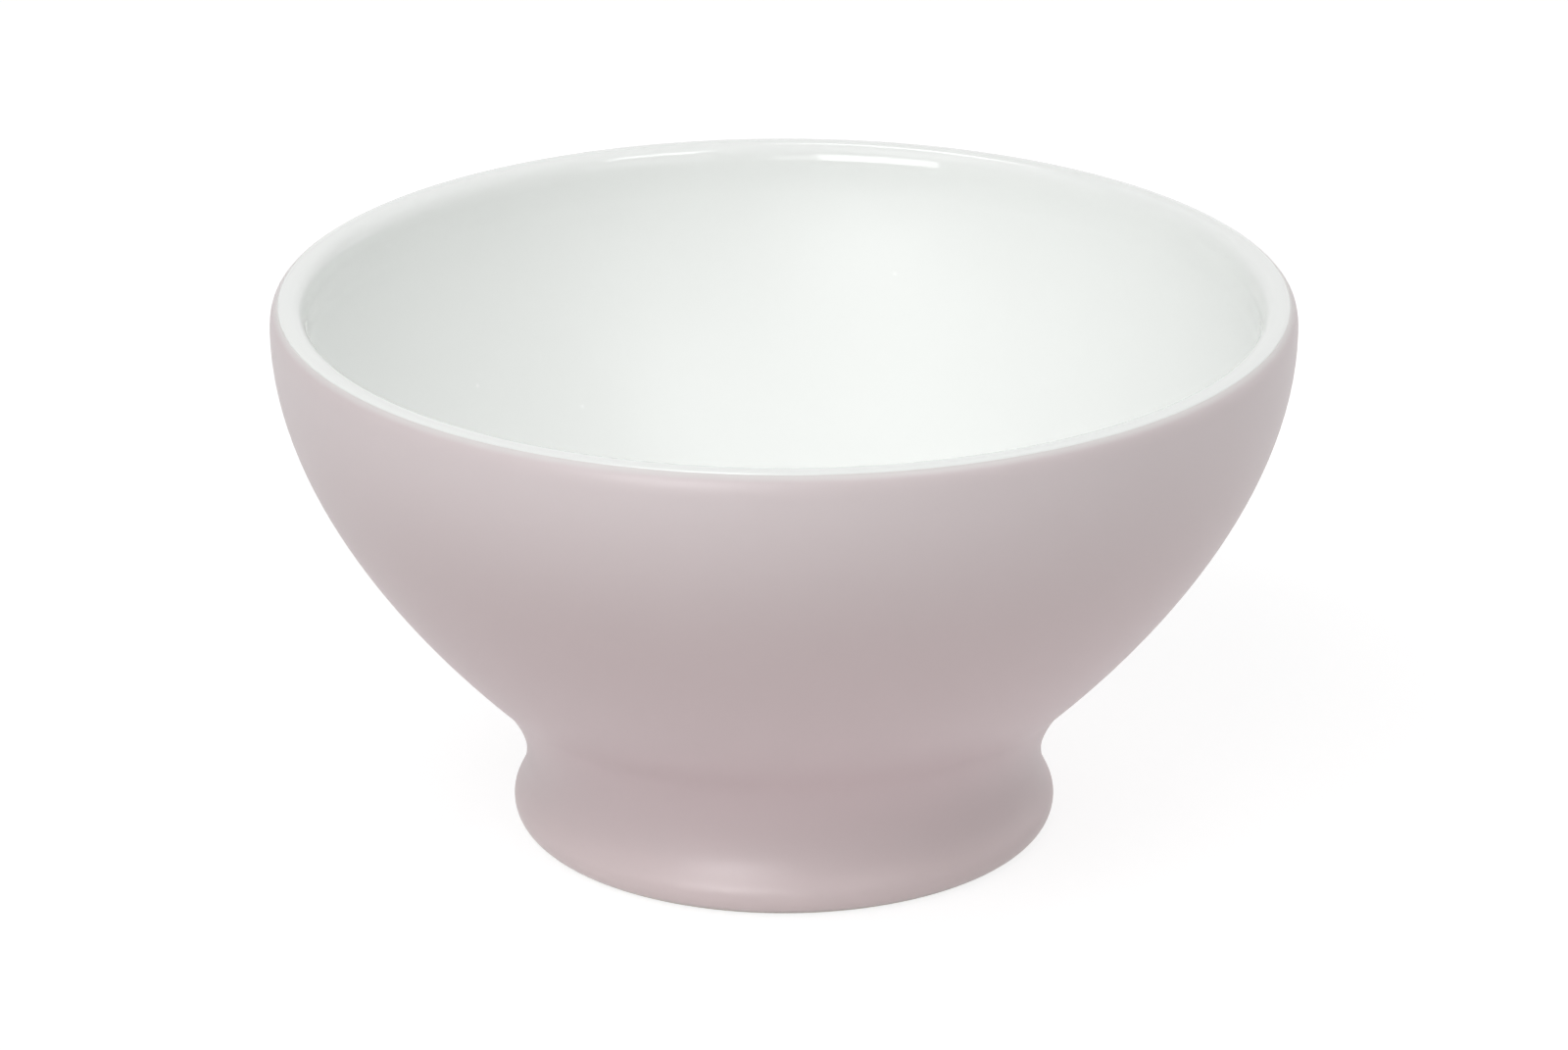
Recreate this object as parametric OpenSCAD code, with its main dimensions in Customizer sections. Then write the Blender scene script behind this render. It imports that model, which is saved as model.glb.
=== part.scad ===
// Footed latte bowl: a thick porcelain bowl luted to a pedestal foot,
// glazed pale pink outside and white inside. Every piece is turned
// from one section, drawn as radius and height in millimetres.

/* [Bowl] */
// Widest diameter of the bowl, just under its lip
rim_d = 140; // [120:1:160]
// Height from the table to the top of the lip
height = 76.4; // [68:0.2:90]
// Thickness of the glazed wall
wall_t = 5; // [4:0.1:7]
// Thickness of the glazed floor at its centre
floor_t = 4.8; // [3.6:0.1:8]
// Slope of the belly where it leaves the neck, in degrees from level
belly_slope = 44; // [38:1:50]

/* [Lip] */
// Height of the lip's rounding above the widest line
lip_h = 3.5; // [2.6:0.1:5]
// Distance from the widest line in to the top of the lip
lip_out = 2.7; // [1.8:0.1:3.2]

/* [Foot] */
// Outer diameter of the bare ring that the bowl rests on
ring_d = 69.8; // [62:0.2:78]
// Width of the bare resting ring
ring_w = 3; // [2:0.1:4.5]
// Rounding from the resting ring into the well
ring_round = 1; // [0.5:0.1:2]
// Distance that the foot swells out past its resting ring
swell_out = 2.8; // [1:0.1:5]
// Height of the swell's widest line
swell_z = 3.1; // [2:0.1:5]
// Distance that the waist draws in from the swell
waist_in = 1.8; // [0.6:0.1:3]
// Height of the waist above the swell
waist_rise = 7; // [5:0.1:10]
// Rise of the well's ceiling towards its centre
well_dome = 0.8; // [0.2:0.1:2]

/* [Neck] */
// Distance that the neck flares out between the waist and the belly
neck_out = 5.7; // [4:0.1:8]
// Height of the neck between the waist and the belly
neck_rise = 11.4; // [9:0.1:15]

/* [Slip joint] */
// Thickness of the slip between the foot and the bowl
slip_t = 0.4; // [0.2:0.1:1]
// Radius of the slip's bead in the corner of the well
slip_bead = 2; // [1:0.1:3]

/* [Glaze] */
// Thickness of the pink coat
pink_t = 0.3; // [0.15:0.05:0.5]
// Thickness of the white coat
white_t = 0.3; // [0.15:0.05:0.5]
// Thickness of the coat in the well
well_t = 0.25; // [0.15:0.05:0.5]
// Length over which a coat thins out to its edge by the resting ring
feather = 1.5; // [0.5:0.1:2.5]
// Share of the lip's outer curve that the pink coat covers
pink_lip_share = 0.66; // [0.5:0.02:0.8]
// Share of the foot's lower curve that is left bare
bare_share = 0.4; // [0.2:0.05:0.6]

/* [Hidden] */
$fn = 180;

// Reach of each curve's two handles, as shares of the span that it crosses
edge_shares = [0.57, 0.56];
foot_shares = [0.27, 0.62];
neck_shares = [0.32, 0.27];
belly_shares = [0.31, 0.33];
lip_shares = [0.85, 0.70];
mouth_shares = [0.70, 0.60];
floor_shares = [0.35, 0.56];
round_shares = [0.55, 0.55];
dome_shares = [0.40, 0.30];

// Straight steps that each curve is drawn in
fine_steps = 28;
round_steps = 8;

// Directions in the section
out = [1, 0];
up = [0, 1];
belly_way = [cos(belly_slope), sin(belly_slope)];

// Places on the outside, from the table to the top of the lip
ring_at = [ring_d / 2, 0];
swell_at = ring_at + [swell_out, swell_z];
waist_at = swell_at + [-waist_in, waist_rise];
belly_at = waist_at + [neck_out, neck_rise];
rim_at = [rim_d / 2, height - lip_h];
crown_at = rim_at + [-lip_out, lip_h];

// Places in the well, and the level where the bowl sits on the foot
well_r = ring_at.x - ring_w - ring_round;
joint_z = waist_at.y;
ceiling_z = joint_z - well_t;
ceiling_at = [0, ceiling_z + well_dome];
bead_at = [well_r - slip_bead, ceiling_z];
bead_end = [well_r, ceiling_z - slip_bead];
well_edge = [well_r, ring_round];

// Places inside, each a wall's thickness in from the outside
mouth_at = rim_at - wall_t * out;
bend_at = belly_at + wall_t * [-sin(belly_slope), cos(belly_slope)];
floor_at = ceiling_at + floor_t * up;

// A curve leaves one place in its first direction and reaches the next in its second
function curve(from, way, reach, to, last_way, last_reach) =
    [from, from + reach * way, to - last_reach * last_way, to];

// A corner's handles follow its width and its height
function corner(from, way, to, last_way, shares) =
    curve(from, way, abs((to - from) * way) * shares[0],
          to, last_way, abs((to - from) * last_way) * shares[1]);

// A sweep's handles follow the distance between its ends
function sweep(from, way, to, last_way, shares) =
    curve(from, way, norm(to - from) * shares[0],
          to, last_way, norm(to - from) * shares[1]);

function at(c, t) =
    pow(1 - t, 3) * c[0] + 3 * t * pow(1 - t, 2) * c[1]
    + 3 * t * t * (1 - t) * c[2] + pow(t, 3) * c[3];

function heading(c, t) =
    pow(1 - t, 2) * (c[1] - c[0]) + 2 * t * (1 - t) * (c[2] - c[1])
    + t * t * (c[3] - c[2]);

// The direction into the wall, which lies to the left of each curve
function into(c, t) =
    let (h = heading(c, t)) [-h.y, h.x] / norm(h);

// Stations along a curve, each a place on the surface and the direction into the wall
function stations(c, steps, first = 0, last = 1) =
    [for (i = [0 : steps]) let (t = first + (last - first) * i / steps) [at(c, t), into(c, t)]];

// The same stations seen from the wall's other face, in the opposite order
function facing(run, t) =
    [for (i = [len(run) - 1 : -1 : 0]) [run[i][0] + t * run[i][1], -run[i][1]]];

function rest(run) = [for (i = [1 : len(run) - 1]) run[i]];

function surface_of(run) = [for (s = run) s[0]];

// Depth of a coat at a station, which thins out to nothing at its edge
function depth(s, t, edge) =
    is_undef(edge) ? t : t * min(1, norm(s[0] - edge) / feather);

function under(run, t, edge = undef) =
    [for (s = run) s[0] + depth(s, t, edge) * s[1]];

// Outline of a coat: its surface, then back along the clay under it
function coat(run, t, edge = undef) =
    concat(surface_of(run),
           [for (i = [len(run) - 1 : -1 : 0]) let (s = run[i])
               if (depth(s, t, edge) > 0) s[0] + depth(s, t, edge) * s[1]]);

// The foot's lower curve is bare up to the edge of the pink coat
edge_curve = corner(ring_at, out, swell_at, up, edge_shares);
bare_edge = stations(edge_curve, round_steps, 0, bare_share);

// The outside, from the edge of the pink coat to the glaze line on the lip
belly = stations(sweep(belly_at, belly_way, rim_at, up, belly_shares), fine_steps);
lip_curve = corner(rim_at, up, crown_at, -out, lip_shares);
foot_side = sweep(swell_at, up, waist_at, up, foot_shares);
neck_side = sweep(waist_at, up, belly_at, belly_way, neck_shares);
pink_run = concat(
    stations(edge_curve, round_steps, bare_share, 1),
    rest(stations(foot_side, 2 * round_steps)),
    rest(stations(neck_side, 2 * round_steps)),
    rest(belly),
    rest(stations(lip_curve, round_steps, 0, pink_lip_share)));
pink_edge = pink_run[0][0];

// The inside, from the glaze line over the lip and down to the centre of the floor
mouth_curve = corner(crown_at, -out, mouth_at, -up, mouth_shares);
floor_curve = curve(bend_at, -belly_way, floor_shares[0] * bend_at.x,
                    floor_at, -out, floor_shares[1] * bend_at.x);
white_run = concat(
    stations(lip_curve, round_steps, pink_lip_share, 1),
    rest(stations(mouth_curve, 2 * round_steps)),
    rest(facing(belly, wall_t)),
    rest(stations(floor_curve, fine_steps)));

// The well, from the centre of its ceiling round the bead and down to the ring
well_run = concat(
    stations(sweep(ceiling_at, out, bead_at, out, dome_shares), round_steps),
    rest(stations(corner(bead_at, out, bead_end, -up, round_shares), round_steps)),
    [[well_edge + feather * up, out], [well_edge, out]]);
ring_curve = corner(well_edge, -up, [well_r + ring_round, 0], out, round_shares);

// Section of all the clay, under the coats and down to the bare ring
module clay_section() {
    polygon(concat(
        [for (i = [0 : round_steps - 1]) bare_edge[i][0]],
        under(pink_run, pink_t, pink_edge),
        under(white_run, white_t),
        under(well_run, well_t, well_edge),
        surface_of(rest(stations(ring_curve, round_steps)))));
}

// Where the slip lies: a thin layer on top of the foot, and the bead inside it
module slip_zone() {
    translate([0, joint_z - slip_t]) square([rim_d / 2, slip_t]);
    translate([0, joint_z - slip_bead - well_t]) square([well_r + well_t, slip_bead + well_t]);
}

// Bowl with its wall, lip and floor, down to the level of the joint
module bowl_body() {
    color("whitesmoke") rotate_extrude() intersection() {
        clay_section();
        translate([0, joint_z]) square([rim_d / 2, height - joint_z]);
    }
}

// Pedestal foot ring, flared to its swell and bare where it rests
module foot() {
    color("white") rotate_extrude() difference() {
        intersection() {
            clay_section();
            square([rim_d / 2, joint_z]);
        }
        slip_zone();
    }
}

// Slip that lutes the foot to the bowl
module slip_joint() {
    color("gainsboro") rotate_extrude() intersection() {
        clay_section();
        slip_zone();
    }
}

// Pink coat on the outside of the bowl and the foot
module pink_glaze() {
    color("#d8c9ca") rotate_extrude() polygon(coat(pink_run, pink_t, pink_edge));
}

// White coat over the lip and the inside
module white_glaze() {
    color("#f4f5f3") rotate_extrude() polygon(coat(white_run, white_t));
}

// White coat in the well under the floor
module well_glaze() {
    color("#f0f1ef") rotate_extrude() polygon(coat(well_run, well_t, well_edge));
}

bowl_body();
foot();
slip_joint();
pink_glaze();
white_glaze();
well_glaze();
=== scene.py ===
import math
import bmesh
import bpy
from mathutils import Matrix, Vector
from mathutils.geometry import interpolate_bezier


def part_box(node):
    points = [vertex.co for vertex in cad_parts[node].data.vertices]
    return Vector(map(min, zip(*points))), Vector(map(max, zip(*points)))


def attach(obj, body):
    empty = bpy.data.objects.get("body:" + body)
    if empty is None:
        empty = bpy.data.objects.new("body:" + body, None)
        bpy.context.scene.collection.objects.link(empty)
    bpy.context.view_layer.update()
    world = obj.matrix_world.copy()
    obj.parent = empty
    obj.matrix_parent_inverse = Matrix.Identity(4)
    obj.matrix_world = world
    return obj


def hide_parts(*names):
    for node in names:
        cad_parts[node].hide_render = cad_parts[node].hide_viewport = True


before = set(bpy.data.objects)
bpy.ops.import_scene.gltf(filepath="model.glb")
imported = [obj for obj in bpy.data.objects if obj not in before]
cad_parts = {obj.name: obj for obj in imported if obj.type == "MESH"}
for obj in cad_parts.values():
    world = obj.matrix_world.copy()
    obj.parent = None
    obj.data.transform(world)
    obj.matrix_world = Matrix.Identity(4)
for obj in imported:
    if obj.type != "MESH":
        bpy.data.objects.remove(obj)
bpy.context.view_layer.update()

# Footed latte bowl. Every piece is turned about Z from a section in the X-Z plane,
# where X is the radius. The numbers in the dictionaries are in mm unless they say otherwise.
mm = 0.001
print("frame loaded:", ", ".join(sorted(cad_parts)))

# sizes that the frame gives
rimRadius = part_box("pink_glaze")[1].x  # widest line of the bowl, under its lip
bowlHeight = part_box("white_glaze")[1].z
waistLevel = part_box("bowl_body")[0].z  # the bowl's clay ends here, on the foot


def place(radius, level):
    return Vector((radius, 0, level))


outward = place(1, 0)
upward = place(0, 1)

# where the curves of the outside meet, from the table to the top of the lip
outside = {
    "ringRadius": 34.9,  # outer edge of the bare ring that it rests on
    "swellOut": 2.8,
    "swellLevel": 3.1,
    "waistIn": 1.8,
    "neckOut": 5.7,
    "neckRise": 11.4,
    "bellySlope": 44,  # degrees from level
    "lipIn": 2.7,
    "lipRise": 3.5,
}
ring = place(outside["ringRadius"] * mm, 0)
swell = ring + place(outside["swellOut"], outside["swellLevel"]) * mm
waist = place(swell.x - outside["waistIn"] * mm, waistLevel)
bellyStart = waist + place(outside["neckOut"], outside["neckRise"]) * mm
slope = math.radians(outside["bellySlope"])
bellyWay = place(math.cos(slope), math.sin(slope))
rim = place(rimRadius, bowlHeight - outside["lipRise"] * mm)
crown = place(rimRadius - outside["lipIn"] * mm, bowlHeight)

# the inside and the well, measured from the outside
inside = {"wall": 5, "floor": 4.8, "ringWidth": 3, "ringRound": 1, "bead": 2, "dome": 0.8}
coats = {"pink": 0.3, "white": 0.3, "well": 0.25, "feather": 1.5}
wall = inside["wall"] * mm
mouth = rim - outward * wall
bend = bellyStart + place(-bellyWay.z, bellyWay.x) * wall
wellRadius = ring.x - (inside["ringWidth"] + inside["ringRound"]) * mm
ceiling = waistLevel - coats["well"] * mm
ceilingCentre = place(0, ceiling + inside["dome"] * mm)
floorCentre = ceilingCentre + upward * inside["floor"] * mm


# curves: a sweep's handles are shares of the distance, a corner's are shares of its width and height


def sweep(start, startWay, end, endWay, startShare, endShare):
    span = (end - start).length
    return start, start + startWay * span * startShare, end - endWay * span * endShare, end


def corner(start, startWay, end, endWay, startShare, endShare):
    startPull = abs((end - start).dot(startWay)) * startShare
    endPull = abs((end - start).dot(endWay)) * endShare
    return start, start + startWay * startPull, end - endWay * endPull, end


def drawn(curve, steps):
    return interpolate_bezier(*curve, steps + 1)


def joined(*runs):
    # each run starts where the one before it ends
    points = list(runs[0])
    for run in runs[1:]:
        points += run[1:]
    return points


def inset(points, depths):
    # the same run, sunk into the clay on its left by a depth at each point
    sunk = []
    for i, point in enumerate(points):
        ahead = points[min(i + 1, len(points) - 1)] - points[max(i - 1, 0)]
        into = place(-ahead.z, ahead.x).normalized()
        sunk.append(point + into * depths[i])
    return sunk


def feathered(points, depth, edge):
    # a coat thins out towards its edge by the resting ring
    return [depth * min(1, (point - edge).length / (coats["feather"] * mm)) for point in points]


def turned(name, section, closed, body="root"):
    # spins a section once round the axis and closes its seam and its poles
    mesh = bmesh.new()
    corners = [mesh.verts.new(point) for point in section]
    pairs = list(zip(corners, corners[1:]))
    if closed:
        pairs.append((corners[-1], corners[0]))
    edges = [mesh.edges.new(pair) for pair in pairs]
    bmesh.ops.spin(mesh, geom=corners + edges, cent=(0, 0, 0), axis=(0, 0, 1), angle=2 * math.pi,
                   steps=turning["steps"], use_merge=True)
    bmesh.ops.remove_doubles(mesh, verts=mesh.verts, dist=turning["mergeDistance"] * mm)
    bmesh.ops.recalc_face_normals(mesh, faces=mesh.faces)
    for face in mesh.faces:
        face.smooth = True
    data = bpy.data.meshes.new(name)
    mesh.to_mesh(data)
    mesh.free()
    piece = bpy.data.objects.new(name, data)
    bpy.context.scene.collection.objects.link(piece)
    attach(piece, body)
    return piece


turning = {
    "steps": 288,  # round the axis
    "fine": 30,  # steps in a long curve of the section
    "round": 12,  # in a rounded corner
    "lip": 36,  # and in the lip's outer curve, where the two coats meet
    "mergeDistance": 0.001,
}
fine = turning["fine"]
rounding = turning["round"]

# how far the two handles of each curve reach, as shares
reaches = {
    "edge": (0.57, 0.56),
    "foot": (0.27, 0.62),
    "neck": (0.32, 0.27),
    "belly": (0.31, 0.33),
    "lip": (0.85, 0.70),
    "mouth": (0.70, 0.60),
    "floor": (0.35, 0.56),
    "ceiling": (0.40, 0.30),
    "round": (0.55, 0.55),  # as good as a quarter of a circle
}

# the same curves as the solids, drawn finer
wellEdge = wellRadius + inside["ringRound"] * mm
beadTop = place(wellRadius - inside["bead"] * mm, ceiling)
beadFoot = place(wellRadius, ceiling - inside["bead"] * mm)
edgeCurve = corner(ring, outward, swell, upward, *reaches["edge"])
footCurve = sweep(swell, upward, waist, upward, *reaches["foot"])
neckCurve = sweep(waist, upward, bellyStart, bellyWay, *reaches["neck"])
bellyCurve = sweep(bellyStart, bellyWay, rim, upward, *reaches["belly"])
lipCurve = corner(rim, upward, crown, -outward, *reaches["lip"])
mouthCurve = corner(crown, -outward, mouth, -upward, *reaches["mouth"])
floorCurve = (bend, bend - bellyWay * bend.x * reaches["floor"][0],
              floorCentre + outward * bend.x * reaches["floor"][1], floorCentre)
ceilingCurve = sweep(ceilingCentre, outward, beadTop, outward, *reaches["ceiling"])
beadCurve = corner(beadTop, outward, beadFoot, -upward, *reaches["round"])
ringCurve = corner(place(wellRadius, inside["ringRound"] * mm), -upward,
                   place(wellEdge, 0), outward, *reaches["round"])

# the coats meet at the glaze line on the lip, and end above the bare ring
glazeLineShare = 0.66  # of the lip's outer curve
bareShare = 0.4  # of the foot's lower curve
edgeRun = drawn(edgeCurve, rounding)
lipRun = drawn(lipCurve, turning["lip"])
bareStep = round(bareShare * rounding)
lineStep = round(glazeLineShare * turning["lip"])
bellyRun = drawn(bellyCurve, fine)
pinkRun = joined(edgeRun[bareStep:], drawn(footCurve, fine), drawn(neckCurve, fine),
                 bellyRun, lipRun[:lineStep + 1])
wallRun = inset(bellyRun, [wall] * len(bellyRun))[::-1]
whiteRun = joined(lipRun[lineStep:], drawn(mouthCurve, fine), wallRun, drawn(floorCurve, fine))
wellRun = joined(drawn(ceilingCurve, rounding), drawn(beadCurve, rounding),
                 [beadCurve[-1], ringCurve[0] + upward * coats["feather"] * mm, ringCurve[0]])


def pinkCoat():
    depths = feathered(pinkRun, coats["pink"] * mm, pinkRun[0])
    section = pinkRun + inset(pinkRun, depths)[:0:-1]
    piece = turned("pink_glaze_coat", section, closed=True)
    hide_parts("pink_glaze")
    return piece


def whiteCoat():
    under = inset(whiteRun, [coats["white"] * mm] * len(whiteRun))
    under[-1].x = 0
    piece = turned("white_glaze_coat", whiteRun[::-1] + under, closed=False)
    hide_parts("white_glaze")
    return piece


def wellCoat():
    under = inset(wellRun, feathered(wellRun, coats["well"] * mm, wellRun[-1]))
    under[0].x = 0
    piece = turned("well_glaze_coat", wellRun + under[-2::-1], closed=False)
    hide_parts("well_glaze")
    return piece


pieces = {"pink": pinkCoat(), "white": whiteCoat(), "well": wellCoat()}
print("coats turned:", {name: len(piece.data.polygons) for name, piece in pieces.items()})


# materials


def linear(hexColour):
    # sRGB hex to a linear colour
    values = [int(hexColour[i:i + 2], 16) / 255 for i in (0, 2, 4)]
    return [v / 12.92 if v <= 0.04045 else ((v + 0.055) / 1.055) ** 2.4 for v in values] + [1]


def addNode(tree, kind, settings, sockets):
    # adds a node, and sets or links its sockets by name or by number; a colour Mix has its factor
    # at 0, its two colours at 6 and 7, and its result at output 2
    node = tree.nodes.new(kind)
    for name, value in settings.items():
        setattr(node, name, value)
    for name, value in sockets.items():
        if isinstance(value, bpy.types.NodeSocket):
            tree.links.new(value, node.inputs[name])
        else:
            node.inputs[name].default_value = value
    return node


def newMaterial(name):
    material = bpy.data.materials.new(name)
    material.use_nodes = True
    material.node_tree.nodes.clear()
    return material, material.node_tree


def perMetre(size):
    # a texture's scale from the size of its pattern in mm
    return 1 / (size * mm)


# satin glaze, stained pale pink, sprayed on porcelain: silky and even; its pink changes with height to
# paint light and shade, darker across the belly, pinker about the waist, paler at the foot's bottom
# edge and towards the rim, and paler where it thins at the lip
pinkSatin = {
    "shadedTints": ((1, "dccdcd"), (7, "d0c1c2"), (20, "d2c0c2"), (50, "c8b8b9"), (72, "d2c7c8")),  # by level
    "thinColour": "dbd7d6",
    "thinFrom": 75.3,
    "thinTo": 76.15,
    "cloudSize": 22,  # the spray's faint unevenness
    "cloudShade": 0.985,  # how much darker the clouds get
    "ior": 1.5,
    "roughness": (0.37, 0.43),
    "grainSize": 0.7,  # drawn coarser than the real crystals, so that it shows
    "grainDepth": 0.004,
}


def pinkSatinGlaze():
    look = pinkSatin
    material, tree = newMaterial("pinkSatinGlazeSprayed")
    spot = addNode(tree, "ShaderNodeTexCoord", {}, {}).outputs["Object"]
    level = addNode(tree, "ShaderNodeSeparateXYZ", {}, {"Vector": spot}).outputs["Z"]
    clouds = addNode(tree, "ShaderNodeTexNoise", {},
                     {"Vector": spot, "Scale": perMetre(look["cloudSize"]),
                      "Detail": 3, "Roughness": 0.5})
    grain = addNode(tree, "ShaderNodeTexNoise", {},
                    {"Vector": spot, "Scale": perMetre(look["grainSize"]),
                     "Detail": 2, "Roughness": 0.6})
    low = look["shadedTints"][0][0]
    high = look["shadedTints"][-1][0]
    height = addNode(tree, "ShaderNodeMapRange", {},
                     {"Value": level, "From Min": low * mm, "From Max": high * mm})
    # the ramp by level is painted light and shade on the stained pink: painted shade across the belly,
    # painted sheen and reflection at the foot's edge and the rim
    body = addNode(tree, "ShaderNodeValToRGB", {}, {"Fac": height.outputs["Result"]})
    body.color_ramp.interpolation = "CARDINAL"
    stops = body.color_ramp.elements
    while len(stops) < len(look["shadedTints"]):
        stops.new(1)
    for stop, (at, hexColour) in zip(stops, look["shadedTints"]):
        stop.position = (at - low) / (high - low)
        stop.color = linear(hexColour)
    thinning = addNode(tree, "ShaderNodeMapRange", {"interpolation_type": "SMOOTHSTEP"},
                       {"Value": level, "From Min": look["thinFrom"] * mm,
                        "From Max": look["thinTo"] * mm})
    colour = addNode(tree, "ShaderNodeMix", {"data_type": "RGBA"},
                     {0: thinning.outputs["Result"], 6: body.outputs["Color"],
                      7: linear(look["thinColour"])})
    shade = addNode(tree, "ShaderNodeMapRange", {},
                    {"Value": clouds.outputs["Fac"], "To Min": 1, "To Max": look["cloudShade"]})
    clouded = addNode(tree, "ShaderNodeVectorMath", {"operation": "SCALE"},
                      {0: colour.outputs[2], "Scale": shade.outputs["Result"]})
    sheen = addNode(tree, "ShaderNodeMapRange", {},
                    {"Value": clouds.outputs["Fac"], "To Min": look["roughness"][0],
                     "To Max": look["roughness"][1]})
    bump = addNode(tree, "ShaderNodeBump", {},
                   {"Strength": 1, "Distance": look["grainDepth"] * mm, "Height": grain.outputs["Fac"]})
    shader = addNode(tree, "ShaderNodeBsdfPrincipled", {},
                     {"Base Color": clouded.outputs[0], "Roughness": sheen.outputs["Result"],
                      "IOR": look["ior"], "Normal": bump.outputs["Normal"]})
    addNode(tree, "ShaderNodeOutputMaterial", {}, {"Surface": shader.outputs["BSDF"]})
    return material


# clear gloss glaze poured over white porcelain: a faintly green-grey white, glassy, with painted shade
# that greys the upward-facing lip, softer inside, with a slight ripple and a few pinholes with painted
# glints
whiteGloss = {
    "colour": "f3f5f3",
    "shade": "f1f3f1",
    "cloudSize": 30,
    "lipShadeColour": "eef0ee",
    "lipShadeFrom": 73,
    "lipShadeTo": 75.5,
    "ior": 1.52,
    "lipRoughness": 0.06,
    "insideRoughness": 0.45,
    "glossyFrom": 73,
    "glossyTo": 73.4,
    "speckleDrop": 4,  # the gloss breaks up in specks finer than a pixel this far below the lip
    "rippleSize": 9,
    "rippleDepth": 0.006,
    "pinholeSpacing": 12,
    "pinholeRadius": 0.5,
    "pinholeDepth": 0.05,
    "pinholeGlintColour": "fefffe",
}


def whiteGlossGlaze():
    look = whiteGloss
    material, tree = newMaterial("clearGlossGlazePoured")
    spot = addNode(tree, "ShaderNodeTexCoord", {}, {}).outputs["Object"]
    level = addNode(tree, "ShaderNodeSeparateXYZ", {}, {"Vector": spot}).outputs["Z"]
    clouds = addNode(tree, "ShaderNodeTexNoise", {},
                     {"Vector": spot, "Scale": perMetre(look["cloudSize"]), "Detail": 2})
    ripple = addNode(tree, "ShaderNodeTexNoise", {},
                     {"Vector": spot, "Scale": perMetre(look["rippleSize"]), "Detail": 1})
    holes = addNode(tree, "ShaderNodeTexVoronoi", {},
                    {"Vector": spot, "Scale": perMetre(look["pinholeSpacing"])})
    reach = look["pinholeRadius"] / look["pinholeSpacing"]
    pits = addNode(tree, "ShaderNodeMapRange", {"interpolation_type": "SMOOTHSTEP"},
                   {"Value": holes.outputs["Distance"], "From Max": reach, "To Min": 1, "To Max": 0})
    clouded = addNode(tree, "ShaderNodeMix", {"data_type": "RGBA"},
                      {0: clouds.outputs["Fac"], 6: linear(look["colour"]),
                       7: linear(look["shade"])})
    # painted shade: the lip, which faces up, is drawn greyer than the rest of the glaze
    lipShade = addNode(tree, "ShaderNodeMapRange", {"interpolation_type": "SMOOTHSTEP"},
                   {"Value": level, "From Min": look["lipShadeFrom"] * mm, "From Max": look["lipShadeTo"] * mm})
    colour = addNode(tree, "ShaderNodeMix", {"data_type": "RGBA"},
                     {0: lipShade.outputs["Result"], 6: clouded.outputs[2], 7: linear(look["lipShadeColour"])})
    # painted glints: the pinholes are drawn whiter than the glaze around them
    glintedPinholes = addNode(tree, "ShaderNodeMix", {"data_type": "RGBA"},
                     {0: pits.outputs["Result"], 6: colour.outputs[2],
                      7: linear(look["pinholeGlintColour"])})
    specks = addNode(tree, "ShaderNodeTexWhiteNoise", {}, {"Vector": spot})
    brokenLevel = addNode(tree, "ShaderNodeMath", {"operation": "MULTIPLY_ADD"},
                          {0: specks.outputs["Value"], 1: look["speckleDrop"] * mm, 2: level})
    gloss = addNode(tree, "ShaderNodeMapRange", {},
                    {"Value": brokenLevel.outputs[0],
                     "From Min": look["glossyFrom"] * mm, "From Max": look["glossyTo"] * mm,
                     "To Min": look["insideRoughness"], "To Max": look["lipRoughness"]})
    waves = addNode(tree, "ShaderNodeBump", {},
                    {"Strength": 1, "Distance": look["rippleDepth"] * mm,
                     "Height": ripple.outputs["Fac"]})
    dents = addNode(tree, "ShaderNodeBump", {"invert": True},
                    {"Strength": 1, "Distance": look["pinholeDepth"] * mm,
                     "Height": pits.outputs["Result"], "Normal": waves.outputs["Normal"]})
    shader = addNode(tree, "ShaderNodeBsdfPrincipled", {},
                     {"Base Color": glintedPinholes.outputs[2], "Roughness": gloss.outputs["Result"],
                      "IOR": look["ior"], "Normal": dents.outputs["Normal"]})
    addNode(tree, "ShaderNodeOutputMaterial", {}, {"Surface": shader.outputs["BSDF"]})
    return material


# hard porcelain fired without glaze: a dry, fine-grained warm white
barePorcelain = {
    "colour": "e9e4db",
    "worn": "d9d2c6",
    "cloudSize": 6,
    "grainSize": 0.5,
    "grainDepth": 0.015,
    "ior": 1.5,
    "roughness": 0.62,
}

# casting slip, fired with the clay: the same body, a little darker and coarser
firedSlip = dict(barePorcelain, colour="e2dcd1", worn="cfc7ba", grainSize=0.8, roughness=0.7)


def dryClay(name, look):
    material, tree = newMaterial(name)
    spot = addNode(tree, "ShaderNodeTexCoord", {}, {}).outputs["Object"]
    clouds = addNode(tree, "ShaderNodeTexNoise", {},
                     {"Vector": spot, "Scale": perMetre(look["cloudSize"]),
                      "Detail": 4, "Roughness": 0.6})
    grain = addNode(tree, "ShaderNodeTexNoise", {},
                    {"Vector": spot, "Scale": perMetre(look["grainSize"]),
                     "Detail": 3, "Roughness": 0.7})
    colour = addNode(tree, "ShaderNodeMix", {"data_type": "RGBA"},
                     {0: clouds.outputs["Fac"], 6: linear(look["colour"]), 7: linear(look["worn"])})
    bump = addNode(tree, "ShaderNodeBump", {},
                   {"Strength": 1, "Distance": look["grainDepth"] * mm,
                    "Height": grain.outputs["Fac"]})
    shader = addNode(tree, "ShaderNodeBsdfPrincipled", {},
                     {"Base Color": colour.outputs[2], "Roughness": look["roughness"],
                      "IOR": look["ior"], "Normal": bump.outputs["Normal"]})
    addNode(tree, "ShaderNodeOutputMaterial", {}, {"Surface": shader.outputs["BSDF"]})
    return material


def dress(piece, material):
    piece.data.materials.clear()
    piece.data.materials.append(material)


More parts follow.
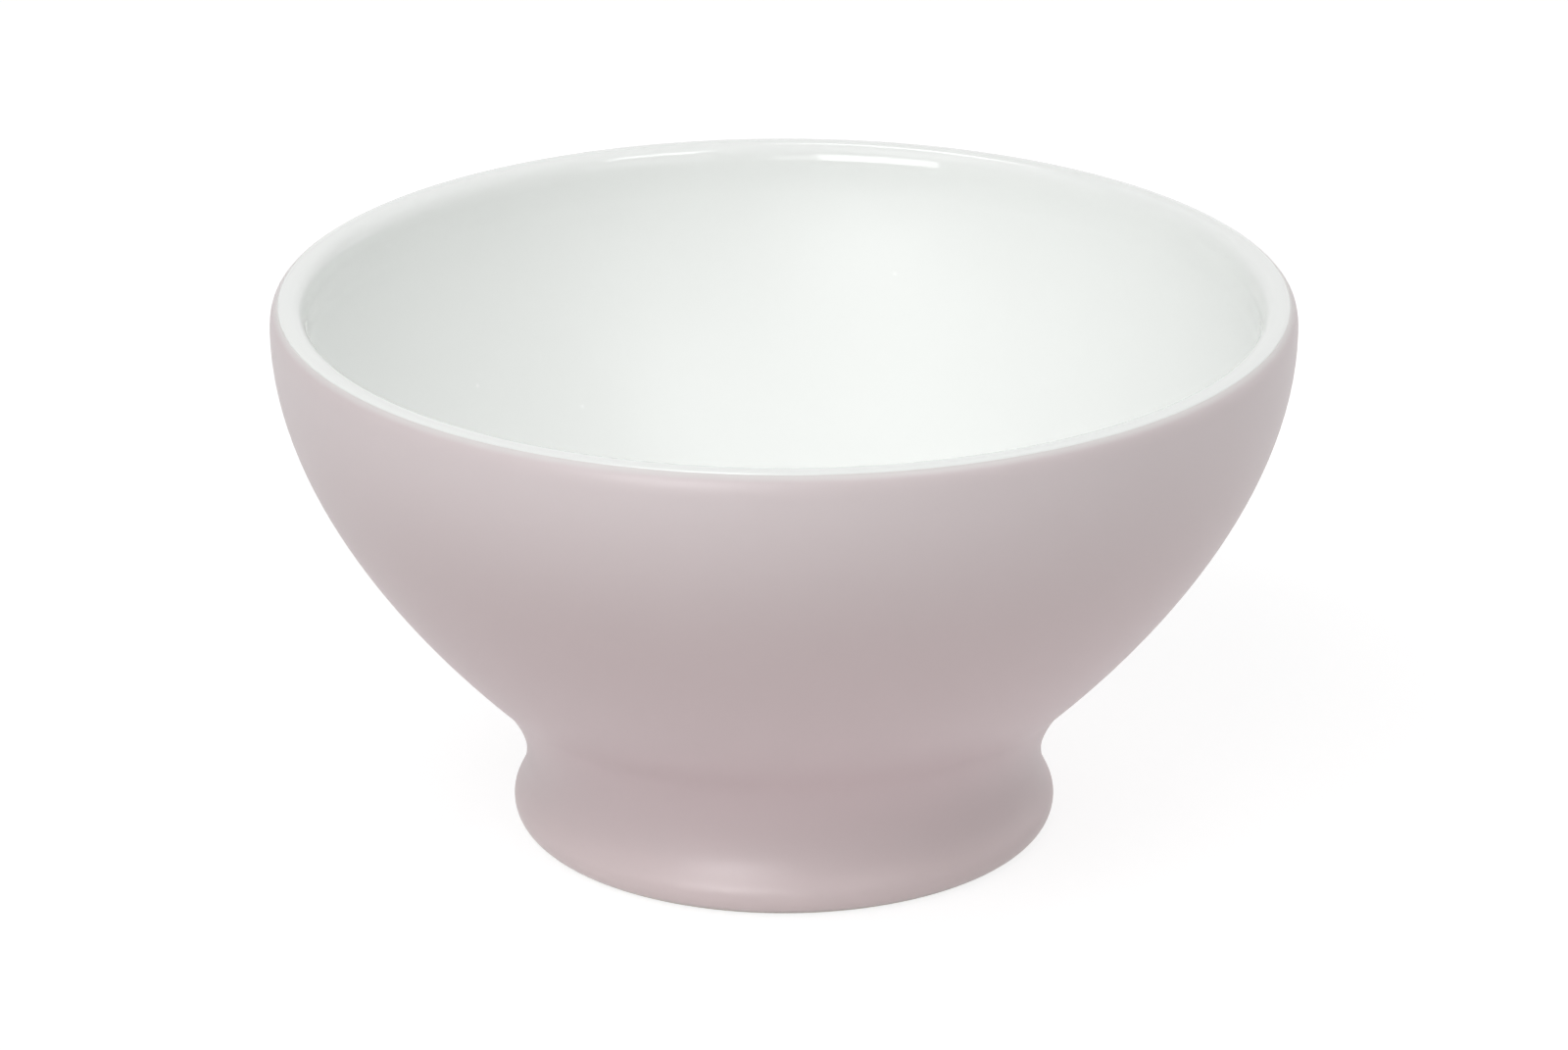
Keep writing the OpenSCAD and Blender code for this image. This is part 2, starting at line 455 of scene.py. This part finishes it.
whiteMaterial = whiteGlossGlaze()
porcelainMaterial = dryClay("porcelainFiredBare", barePorcelain)
dress(pieces["pink"], pinkSatinGlaze())
dress(pieces["white"], whiteMaterial)
dress(pieces["well"], whiteMaterial)
dress(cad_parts["bowl_body"], porcelainMaterial)
dress(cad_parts["foot"], porcelainMaterial)
dress(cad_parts["slip_joint"], dryClay("castingSlipFired", firedSlip))
print("glazes and clay done")


# studio: a white table and surround, soft boxes, cards for the gloss, and the photograph's lens


def raysThatSee(tree):
    # 1 for the rays that show the background to the camera: straight, in gloss and through glass
    path = addNode(tree, "ShaderNodeLightPath", {}, {}).outputs
    seen = path["Is Camera Ray"]
    for ray in ("Is Glossy Ray", "Is Transmission Ray"):
        either = addNode(tree, "ShaderNodeMath", {"operation": "MAXIMUM"}, {0: seen, 1: path[ray]})
        seen = either.outputs[0]
    return seen


table = {
    "half": 3000,
    "gap": 0.01,  # keeps it out of the resting ring's plane
    "colour": "eeeeee",  # as it lights the bowl
    "glow": 0.8,  # as it is seen: this and the grey's share of the light make white
    "seenGrey": 0.3,
}


def whiteTable():
    mesh = bmesh.new()
    bmesh.ops.create_grid(mesh, x_segments=2, y_segments=2, size=table["half"] * mm)
    bmesh.ops.translate(mesh, vec=(0, 0, -table["gap"] * mm), verts=mesh.verts)
    data = bpy.data.meshes.new("table")
    mesh.to_mesh(data)
    mesh.free()
    floor = bpy.data.objects.new("table", data)
    bpy.context.scene.collection.objects.link(floor)
    material, tree = newMaterial("whiteTable")
    lit = addNode(tree, "ShaderNodeBsdfDiffuse", {}, {"Color": linear(table["colour"])})
    grey = addNode(tree, "ShaderNodeBsdfDiffuse", {}, {"Color": [table["seenGrey"]] * 3 + [1]})
    glow = addNode(tree, "ShaderNodeEmission", {}, {"Strength": table["glow"]})
    seen = addNode(tree, "ShaderNodeAddShader", {}, {0: grey.outputs[0], 1: glow.outputs[0]})
    surface = addNode(tree, "ShaderNodeMixShader", {},
                      {0: raysThatSee(tree), 1: lit.outputs[0], 2: seen.outputs[0]})
    addNode(tree, "ShaderNodeOutputMaterial", {}, {"Surface": surface.outputs[0]})
    dress(floor, material)


surround = {"strength": 0.227, "seenStrength": 1}  # as it lights the bowl, and as it is seen


def whiteSurround():
    world = bpy.data.worlds.new("surround")
    world.use_nodes = True
    bpy.context.scene.world = world
    tree = world.node_tree
    tree.nodes.clear()
    strength = addNode(tree, "ShaderNodeMapRange", {},
                       {"Value": raysThatSee(tree), "To Min": surround["strength"],
                        "To Max": surround["seenStrength"]})
    back = addNode(tree, "ShaderNodeBackground", {},
                   {"Color": (1, 1, 1, 1), "Strength": strength.outputs["Result"]})
    addNode(tree, "ShaderNodeOutputWorld", {}, {"Surface": back.outputs[0]})


# the angles are in degrees, and the azimuth turns from the camera's side towards the right
softBoxes = {
    "key": {"azimuth": -36, "elevation": 48, "distance": 1500, "size": (1400, 900), "watts": 9.2},
    "front": {"azimuth": -14, "elevation": 7, "distance": 1500, "size": (900, 700), "watts": 2.5},
    "fill": {"azimuth": 35, "elevation": 20, "distance": 1500, "size": (900, 700), "watts": 1.1},
    "overhead": {"azimuth": -8, "elevation": 64, "distance": 1600, "size": (1900, 1500), "watts": 4},
    "left": {"azimuth": -62, "elevation": 50, "distance": 1600, "size": (1500, 1300), "watts": 3.2},
    "right": {"azimuth": 104, "elevation": 26, "distance": 1600, "size": (1500, 1300), "watts": 2.8},
    "edge": {"azimuth": 112, "elevation": 1.5, "distance": 1600, "size": (1300, 130), "watts": 1},
    "rear": {"azimuth": 150, "elevation": 52, "distance": 1600, "size": (1500, 1100), "watts": 7},
}
unseenInGloss = ("key", "rear")  # the glassy lip would mirror them as lines that the real one lacks

# cards that only show in the gloss: the bar on the back lip, the fainter line on its left, and
# the streak along the front lip
cards = {
    "bar": {"azimuth": -24, "elevation": 13.5, "distance": 1200, "size": (640, 620), "watts": 5.2},
    "spark": {"azimuth": 40, "elevation": 52, "distance": 1200, "size": (420, 340), "watts": 2},
    "streak": {"azimuth": -158, "elevation": 65, "distance": 1300, "size": (440, 260), "watts": 1.6},
}


def stood(name, data, azimuth, elevation, distance):
    # a lamp or a camera on a stand, turned towards the bowl
    turn = math.radians(azimuth)
    tilt = math.radians(elevation)
    way = Vector((math.sin(turn) * math.cos(tilt), -math.cos(turn) * math.cos(tilt), math.sin(tilt)))
    stand = bpy.data.objects.new(name, data)
    stand.location = place(0, view["aimLevel"] * mm) + way * distance * mm
    stand.rotation_euler = way.to_track_quat("Z", "Y").to_euler()
    bpy.context.scene.collection.objects.link(stand)
    return stand


def softBox(name, box, glossOnly=False):
    lamp = bpy.data.lights.new(name, "AREA")
    lamp.shape = "RECTANGLE"
    lamp.size = box["size"][0] * mm
    lamp.size_y = box["size"][1] * mm
    lamp.energy = box["watts"]
    stand = stood(name, lamp, box["azimuth"], box["elevation"], box["distance"])
    stand.visible_camera = False
    stand.visible_diffuse = not glossOnly
    stand.visible_glossy = name not in unseenInGloss


# the lens and the place come from fitting the bowl's outline on the photograph
view = {
    "imageWidth": 1600,
    "focalPixels": 7009.3,
    "sensorWidth": 36,
    "distance": 948,
    "elevation": 21.266,
    "aimLevel": 42.61,
}


def photographersCamera():
    lens = bpy.data.cameras.new("camera")
    lens.sensor_width = view["sensorWidth"]
    lens.lens = view["focalPixels"] * view["sensorWidth"] / view["imageWidth"]
    bpy.context.scene.camera = stood("camera", lens, 0, view["elevation"], view["distance"])


whiteTable()
whiteSurround()
for name, box in softBoxes.items():
    softBox(name, box)
for name, box in cards.items():
    softBox(name, box, glossOnly=True)
photographersCamera()
bpy.context.scene.view_settings.view_transform = "Standard"
print("studio set up")
